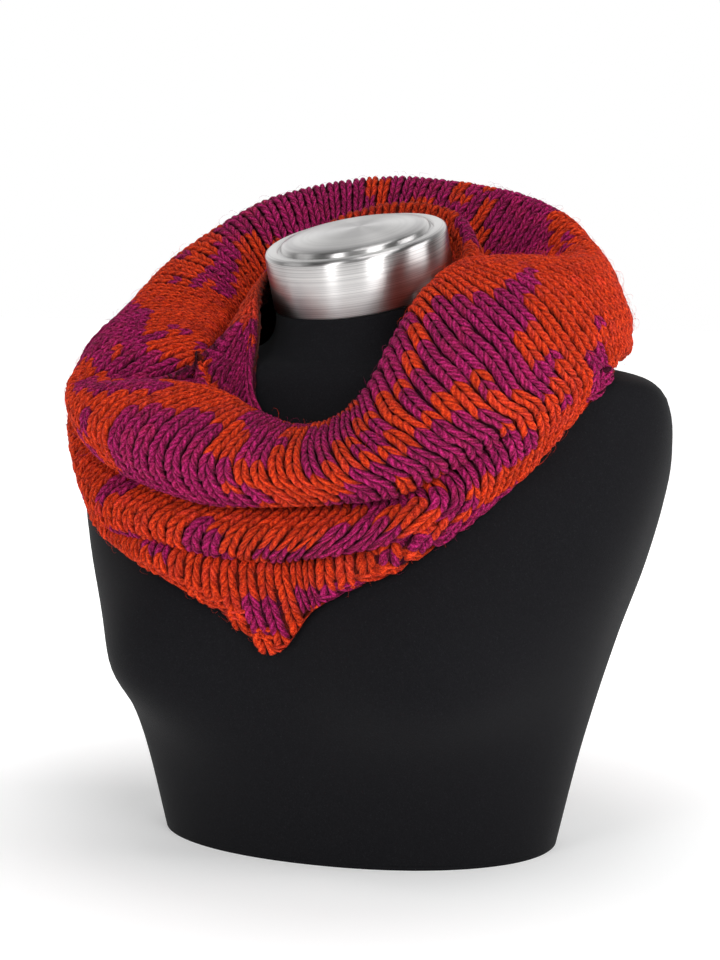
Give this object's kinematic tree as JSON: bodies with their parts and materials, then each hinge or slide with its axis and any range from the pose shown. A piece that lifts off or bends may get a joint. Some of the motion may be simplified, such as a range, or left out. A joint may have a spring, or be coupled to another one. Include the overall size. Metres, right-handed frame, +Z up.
{
  "type": "infinity scarf on a dress form",
  "caption": "Bulky two-colour knitted infinity scarf slumped in folds round the neck of a limbless fabric-covered dress form with a metal neck cap.",
  "frame": {"origin": "middle of the dress form's flat underside", "axes": "+Z up along the neck, -Y towards the form's front, +X towards the form's left"},
  "size_m": [0.4033, 0.301, 0.4191],
  "materials": {
    "yarn_inner": "bulky stockinette knit in loosely spun, fuzzy two-colour yarn",
    "yarn_roll": "bulky stockinette knit in loosely spun, fuzzy two-colour yarn",
    "yarn_folds": "bulky stockinette knit in loosely spun, fuzzy two-colour yarn",
    "form_fabric": "fine matt knit cover, stretched smooth",
    "cap_metal": "circular brushed"
  },
  "bodies": {
    "root": {"collar_stretch": "yarn_inner", "roll_inner_face": "yarn_roll", "roll_outer_face": "yarn_roll", "middle_fold": "yarn_folds", "lower_fold": "yarn_folds", "form_torso": "form_fabric", "neck_cap": "cap_metal"}
  },
  "joints": []
}
